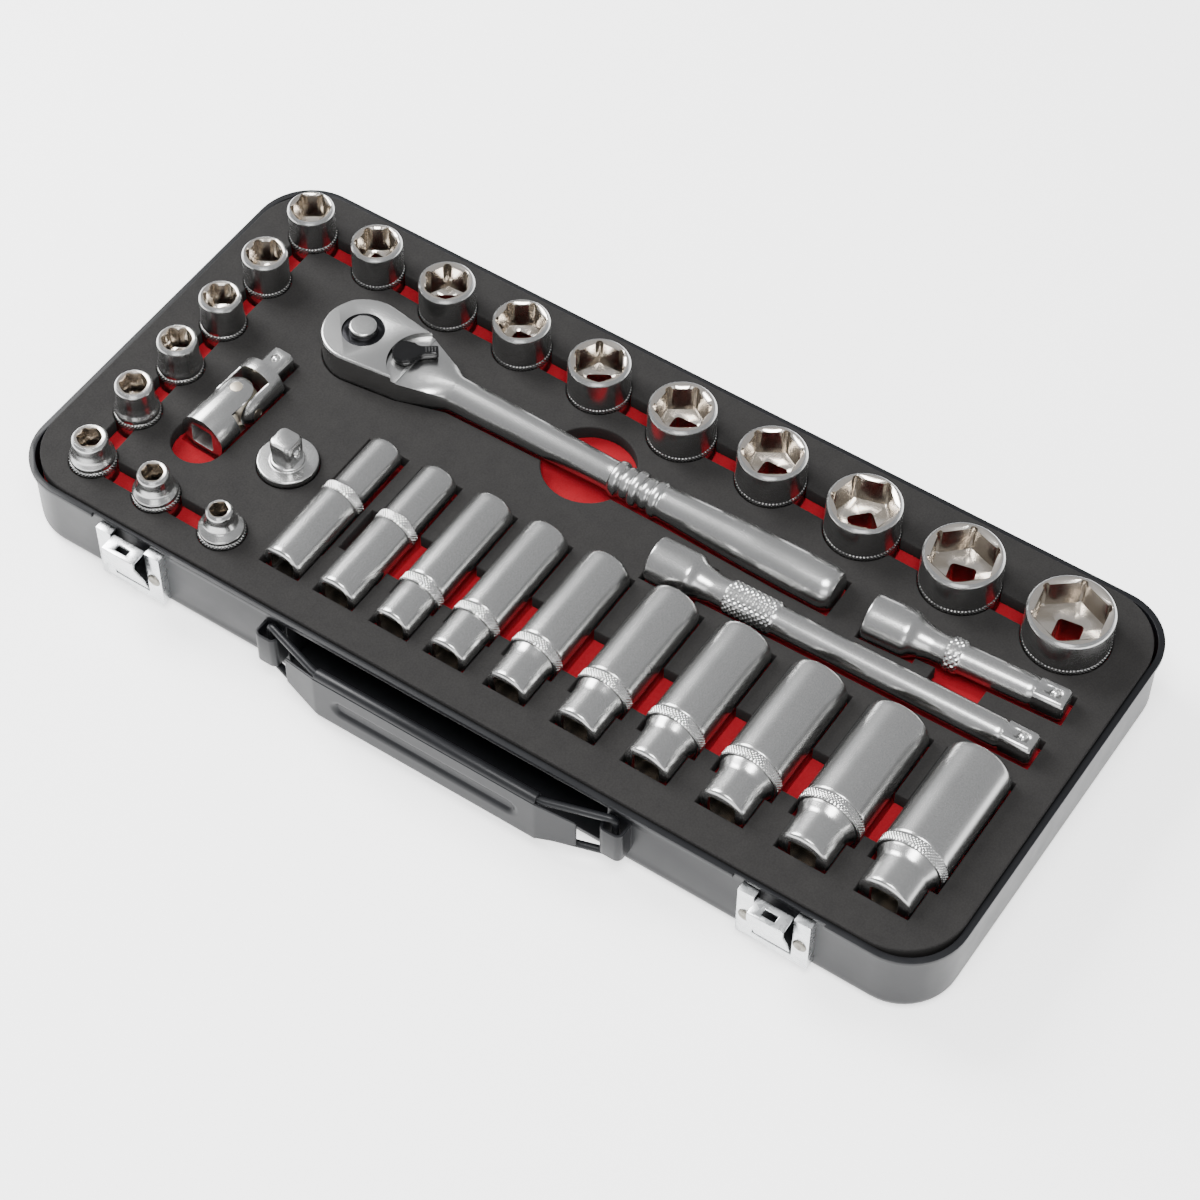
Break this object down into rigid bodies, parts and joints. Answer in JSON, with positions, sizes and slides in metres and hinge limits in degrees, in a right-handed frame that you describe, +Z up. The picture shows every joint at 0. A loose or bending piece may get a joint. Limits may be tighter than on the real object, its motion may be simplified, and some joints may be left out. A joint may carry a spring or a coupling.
{
  "type": "socket wrench set",
  "caption": "Socket wrench set in a black steel tray case with red and black foam: standing and deep sockets, ratchet, extension bars, universal joint and step adaptor",
  "frame": {"origin": "Centre of the tray's flat underside", "axes": "+X along the long side, handle and latches on the -Y side, +Z up"},
  "size_m": [0.3854, 0.1867, 0.0496],
  "materials": {
    "painted_steel": "semi-gloss black paint",
    "red_foam": "matt closed-cell foam",
    "black_foam": "matt closed-cell foam",
    "zinc_plate": "bright zinc plate",
    "satin_chrome": "satin chrome plate on steel",
    "black_lever": "gloss black",
    "plain_steel": "ground steel"
  },
  "bodies": {
    "case": {"case_tray": "painted_steel", "foam_red_base": "red_foam", "foam_black_top": "black_foam", "latch_plate_left": "zinc_plate", "latch_plate_right": "zinc_plate", "latch_rivets": "zinc_plate"},
    "latch_tongue_left": {"latch_tongue_left": "zinc_plate"},
    "latch_tongue_right": {"latch_tongue_right": "zinc_plate"},
    "handle": {"handle_bail": "painted_steel", "handle_grip": "painted_steel"},
    "ratchet": {"ratchet_body": "satin_chrome", "ratchet_cover_plate": "satin_chrome"},
    "ratchet_drive": {"ratchet_drive_gear": "plain_steel"},
    "ratchet_button": {"ratchet_release_button": "satin_chrome"},
    "ratchet_lever": {"ratchet_reversing_lever": "black_lever"},
    "ratchet_pawl": {"ratchet_pawl": "plain_steel"},
    "ratchet_ball": {"ratchet_ball": "plain_steel"},
    "extension_long": {"extension_long": "satin_chrome"},
    "extension_long_ball": {"extension_long_ball": "plain_steel"},
    "extension_short": {"extension_short": "satin_chrome"},
    "extension_short_ball": {"extension_short_ball": "plain_steel"},
    "joint_front": {"joint_front_fork": "satin_chrome"},
    "joint_cross": {"joint_cross": "plain_steel"},
    "joint_back": {"joint_back_fork": "satin_chrome"},
    "joint_ball": {"joint_ball": "plain_steel"},
    "step_adaptor": {"step_adaptor": "satin_chrome"},
    "step_adaptor_ball": {"step_adaptor_ball": "plain_steel"},
    "deep_socket_10": {"deep_socket_10": "satin_chrome"},
    "deep_socket_11": {"deep_socket_11": "satin_chrome"},
    "deep_socket_12": {"deep_socket_12": "satin_chrome"},
    "deep_socket_13": {"deep_socket_13": "satin_chrome"},
    "deep_socket_14": {"deep_socket_14": "satin_chrome"},
    "deep_socket_15": {"deep_socket_15": "satin_chrome"},
    "deep_socket_16": {"deep_socket_16": "satin_chrome"},
    "deep_socket_17": {"deep_socket_17": "satin_chrome"},
    "deep_socket_18": {"deep_socket_18": "satin_chrome"},
    "deep_socket_19": {"deep_socket_19": "satin_chrome"},
    "socket_06": {"socket_06": "satin_chrome"},
    "socket_07": {"socket_07": "satin_chrome"},
    "socket_08": {"socket_08": "satin_chrome"},
    "socket_09": {"socket_09": "satin_chrome"},
    "socket_10": {"socket_10": "satin_chrome"},
    "socket_11": {"socket_11": "satin_chrome"},
    "socket_12": {"socket_12": "satin_chrome"},
    "socket_13": {"socket_13": "satin_chrome"},
    "socket_14": {"socket_14": "satin_chrome"},
    "socket_15": {"socket_15": "satin_chrome"},
    "socket_16": {"socket_16": "satin_chrome"},
    "socket_17": {"socket_17": "satin_chrome"},
    "socket_18": {"socket_18": "satin_chrome"},
    "socket_19": {"socket_19": "satin_chrome"},
    "socket_21": {"socket_21": "satin_chrome"},
    "socket_22": {"socket_22": "satin_chrome"},
    "socket_24": {"socket_24": "satin_chrome"}
  },
  "joints": [
    {"name": "lift_deep_socket_10", "type": "slide", "parent": "case", "child": "deep_socket_10", "axis": [0, 0, 1], "range_m": [0, 0.06]},
    {"name": "lift_deep_socket_11", "type": "slide", "parent": "case", "child": "deep_socket_11", "axis": [0, 0, 1], "range_m": [0, 0.06]},
    {"name": "lift_deep_socket_12", "type": "slide", "parent": "case", "child": "deep_socket_12", "axis": [0, 0, 1], "range_m": [0, 0.06]},
    {"name": "lift_deep_socket_13", "type": "slide", "parent": "case", "child": "deep_socket_13", "axis": [0, 0, 1], "range_m": [0, 0.06]},
    {"name": "lift_deep_socket_14", "type": "slide", "parent": "case", "child": "deep_socket_14", "axis": [0, 0, 1], "range_m": [0, 0.06]},
    {"name": "lift_deep_socket_15", "type": "slide", "parent": "case", "child": "deep_socket_15", "axis": [0, 0, 1], "range_m": [0, 0.06]},
    {"name": "lift_deep_socket_16", "type": "slide", "parent": "case", "child": "deep_socket_16", "axis": [0, 0, 1], "range_m": [0, 0.06]},
    {"name": "lift_deep_socket_17", "type": "slide", "parent": "case", "child": "deep_socket_17", "axis": [0, 0, 1], "range_m": [0, 0.06]},
    {"name": "lift_deep_socket_18", "type": "slide", "parent": "case", "child": "deep_socket_18", "axis": [0, 0, 1], "range_m": [0, 0.06]},
    {"name": "lift_deep_socket_19", "type": "slide", "parent": "case", "child": "deep_socket_19", "axis": [0, 0, 1], "range_m": [0, 0.06]},
    {"name": "lift_socket_06", "type": "slide", "parent": "case", "child": "socket_06", "axis": [0, 0, 1], "range_m": [0, 0.06]},
    {"name": "lift_socket_07", "type": "slide", "parent": "case", "child": "socket_07", "axis": [0, 0, 1], "range_m": [0, 0.06]},
    {"name": "lift_socket_08", "type": "slide", "parent": "case", "child": "socket_08", "axis": [0, 0, 1], "range_m": [0, 0.06]},
    {"name": "lift_socket_09", "type": "slide", "parent": "case", "child": "socket_09", "axis": [0, 0, 1], "range_m": [0, 0.06]},
    {"name": "lift_socket_10", "type": "slide", "parent": "case", "child": "socket_10", "axis": [0, 0, 1], "range_m": [0, 0.06]},
    {"name": "lift_socket_11", "type": "slide", "parent": "case", "child": "socket_11", "axis": [0, 0, 1], "range_m": [0, 0.06]},
    {"name": "lift_socket_12", "type": "slide", "parent": "case", "child": "socket_12", "axis": [0, 0, 1], "range_m": [0, 0.06]},
    {"name": "lift_socket_13", "type": "slide", "parent": "case", "child": "socket_13", "axis": [0, 0, 1], "range_m": [0, 0.06]},
    {"name": "lift_socket_14", "type": "slide", "parent": "case", "child": "socket_14", "axis": [0, 0, 1], "range_m": [0, 0.06]},
    {"name": "lift_socket_15", "type": "slide", "parent": "case", "child": "socket_15", "axis": [0, 0, 1], "range_m": [0, 0.06]},
    {"name": "lift_socket_16", "type": "slide", "parent": "case", "child": "socket_16", "axis": [0, 0, 1], "range_m": [0, 0.06]},
    {"name": "lift_socket_17", "type": "slide", "parent": "case", "child": "socket_17", "axis": [0, 0, 1], "range_m": [0, 0.06]},
    {"name": "lift_socket_18", "type": "slide", "parent": "case", "child": "socket_18", "axis": [0, 0, 1], "range_m": [0, 0.06]},
    {"name": "lift_socket_19", "type": "slide", "parent": "case", "child": "socket_19", "axis": [0, 0, 1], "range_m": [0, 0.06]},
    {"name": "lift_socket_21", "type": "slide", "parent": "case", "child": "socket_21", "axis": [0, 0, 1], "range_m": [0, 0.06]},
    {"name": "lift_socket_22", "type": "slide", "parent": "case", "child": "socket_22", "axis": [0, 0, 1], "range_m": [0, 0.06]},
    {"name": "lift_socket_24", "type": "slide", "parent": "case", "child": "socket_24", "axis": [0, 0, 1], "range_m": [0, 0.06]},
    {"name": "lift_ratchet", "type": "slide", "parent": "case", "child": "ratchet", "axis": [0, 0, 1], "range_m": [0, 0.06]},
    {"name": "lift_extension_long", "type": "slide", "parent": "case", "child": "extension_long", "axis": [0, 0, 1], "range_m": [0, 0.06]},
    {"name": "lift_extension_short", "type": "slide", "parent": "case", "child": "extension_short", "axis": [0, 0, 1], "range_m": [0, 0.06]},
    {"name": "lift_joint_front", "type": "slide", "parent": "case", "child": "joint_front", "axis": [0, 0, 1], "range_m": [0, 0.06]},
    {"name": "lift_step_adaptor", "type": "slide", "parent": "case", "child": "step_adaptor", "axis": [0, 0, 1], "range_m": [0, 0.06]},
    {"name": "handle_pull", "type": "slide", "parent": "case", "child": "handle", "axis": [0, -1, 0], "range_m": [0, 0.002]},
    {"name": "latch_tongue_left", "type": "hinge", "parent": "case", "child": "latch_tongue_left", "pos_m": [-0.1345, -0.08915, 0.0096], "axis": [-1, 0, 0], "range_deg": [-4, 0], "stiffness_Nm_per_rad": 0.4},
    {"name": "latch_tongue_right", "type": "hinge", "parent": "case", "child": "latch_tongue_right", "pos_m": [0.1345, -0.08915, 0.0096], "axis": [-1, 0, 0], "range_deg": [-4, 0], "stiffness_Nm_per_rad": 0.4},
    {"name": "ratchet_drive_spin", "type": "hinge", "parent": "ratchet", "child": "ratchet_drive", "pos_m": [-0.1163, 0.0276, 0.037], "axis": [0, 0, 1], "continuous": true},
    {"name": "ratchet_button_press", "type": "slide", "parent": "ratchet_drive", "child": "ratchet_button", "axis": [0, 0, -1], "range_m": [0, 0.0025], "stiffness_N_per_m": 200},
    {"name": "ratchet_lever_turn", "type": "hinge", "parent": "ratchet", "child": "ratchet_lever", "pos_m": [-0.0973, 0.0276, 0.037], "axis": [0, 0, 1], "range_deg": [-76, 0]},
    {"name": "ratchet_pawl_rock", "type": "hinge", "parent": "ratchet", "child": "ratchet_pawl", "pos_m": [-0.0973, 0.0276, 0.037], "axis": [0, 0, 1], "range_deg": [0, 7.6]},
    {"name": "ratchet_ball_press", "type": "slide", "parent": "ratchet_drive", "child": "ratchet_ball", "axis": [-1, 0, 0], "range_m": [0, 0.0006], "stiffness_N_per_m": 100},
    {"name": "extension_long_ball_press", "type": "slide", "parent": "extension_long", "child": "extension_long_ball", "axis": [0, 0, -1], "range_m": [0, 0.0006], "stiffness_N_per_m": 100},
    {"name": "extension_short_ball_press", "type": "slide", "parent": "extension_short", "child": "extension_short_ball", "axis": [0, 0, -1], "range_m": [0, 0.0006], "stiffness_N_per_m": 100},
    {"name": "joint_swing", "type": "hinge", "parent": "joint_front", "child": "joint_cross", "pos_m": [-0.13905, -0.01882, 0.035], "axis": [0, 0, 1], "range_deg": [-1.5, 1.5]},
    {"name": "joint_tilt", "type": "hinge", "parent": "joint_cross", "child": "joint_back", "pos_m": [-0.13905, -0.01882, 0.035], "axis": [0.9991, -0.0419, 0], "range_deg": [0, 40]},
    {"name": "joint_ball_press", "type": "slide", "parent": "joint_back", "child": "joint_ball", "axis": [0, 0, -1], "range_m": [0, 0.0006], "stiffness_N_per_m": 100},
    {"name": "step_adaptor_ball_press", "type": "slide", "parent": "step_adaptor", "child": "step_adaptor_ball", "axis": [-1, 0, 0], "range_m": [0, 0.0006], "stiffness_N_per_m": 100}
  ],
  "couplings": [
    {"joint": "ratchet_pawl_rock", "follows": "ratchet_lever_turn", "ratio": -0.1}
  ]
}
